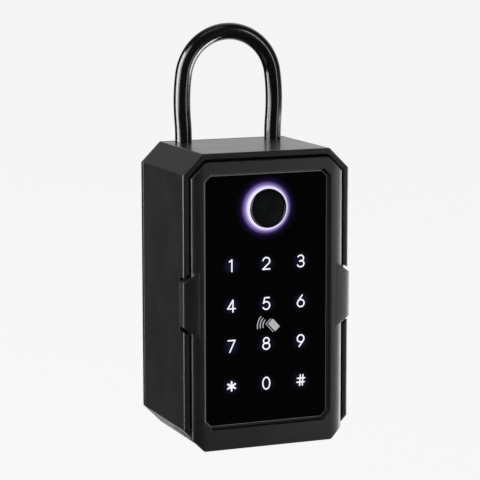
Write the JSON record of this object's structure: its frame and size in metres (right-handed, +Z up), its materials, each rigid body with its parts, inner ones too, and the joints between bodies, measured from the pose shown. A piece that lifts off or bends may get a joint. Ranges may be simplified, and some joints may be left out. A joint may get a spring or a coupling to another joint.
{
  "type": "electronic key box",
  "caption": "Eight-sided portable key box with a bent-bar shackle and a fold-down door that carries a touch keypad and a finger reader.",
  "frame": {"origin": "middle of the footprint, on the underside", "axes": "+Z up, -Y out of the door, +Y towards the wall, +X to the right seen from the front"},
  "size_m": [0.0726, 0.0516, 0.1701],
  "materials": {
    "casing_paint": "satin black powder coat",
    "door_paint": "satin black powder coat",
    "shackle_coat": "gloss black coat on steel bar",
    "black_glass": "polished, back-printed black",
    "reader_black": "semi-gloss black",
    "reader_rim": "dark chrome",
    "light_ring": "translucent, lit violet",
    "mask_plastic": "moulded white",
    "led": "clear",
    "board": "solder resist",
    "chip": "moulded",
    "steel": "bright zinc plated",
    "dark_steel": "blackened",
    "brass": "turned",
    "housing_plastic": "fine texture",
    "rubber": "matt",
    "cell_jacket": "printed sleeve, plain"
  },
  "bodies": {
    "casing": {"body_shell": "casing_paint", "back_plate": "casing_paint", "back_plate_screws": "dark_steel", "hinge_pin": "steel", "strike_plate": "steel", "strike_screws": "steel", "latch_cover": "steel", "latch_cover_screws": "steel"},
    "shackle": {"shackle": "shackle_coat"},
    "shackle_latch": {"shackle_latch": "steel"},
    "lock_bolt": {"lock_bolt": "steel"},
    "motor_pinion": {"motor_pinion": "brass"},
    "battery_cover": {"battery_cover": "housing_plastic"},
    "door": {"door_frame": "door_paint", "touch_glass": "black_glass", "fingerprint_sensor": "reader_black", "sensor_bezel": "reader_rim", "sensor_light_ring": "light_ring", "light_mask": "mask_plastic", "digit_leds": "led", "keypad_board": "board", "main_board": "board", "board_parts": "chip", "board_screws": "steel", "buzzer": "chip", "usb_port": "steel", "inner_housing": "housing_plastic", "housing_screws": "dark_steel", "door_seal": "rubber", "batteries": "cell_jacket", "battery_contacts": "steel", "lock_motor": "steel", "motor_clamp": "steel", "motor_clamp_screw": "steel"}
  },
  "joints": [
    {"name": "door_hinge", "type": "hinge", "parent": "casing", "child": "door", "pos_m": [0, -0.00845, 0.0056], "axis": [1, 0, 0], "range_deg": [0, 90]},
    {"name": "lock_bolt_slide", "type": "slide", "parent": "door", "child": "lock_bolt", "axis": [0, 0, 1], "range_m": [0, 0.004]},
    {"name": "motor_pinion_spin", "type": "hinge", "parent": "door", "child": "motor_pinion", "pos_m": [-0.006, -0.01155, 0.0996], "axis": [1, 0, 0], "range_deg": [0, 80]},
    {"name": "shackle_slide", "type": "slide", "parent": "casing", "child": "shackle", "axis": [0, 0, 1], "range_m": [0, 0.022]},
    {"name": "shackle_latch_slide", "type": "slide", "parent": "casing", "child": "shackle_latch", "axis": [1, 0, 0], "range_m": [0, 0.005]},
    {"name": "battery_cover_slide", "type": "slide", "parent": "door", "child": "battery_cover", "axis": [0, 1, 0], "range_m": [0, 0.012]}
  ],
  "couplings": [
    {"joint": "motor_pinion_spin", "follows": "lock_bolt_slide", "rad_per_m": 333.33}
  ]
}
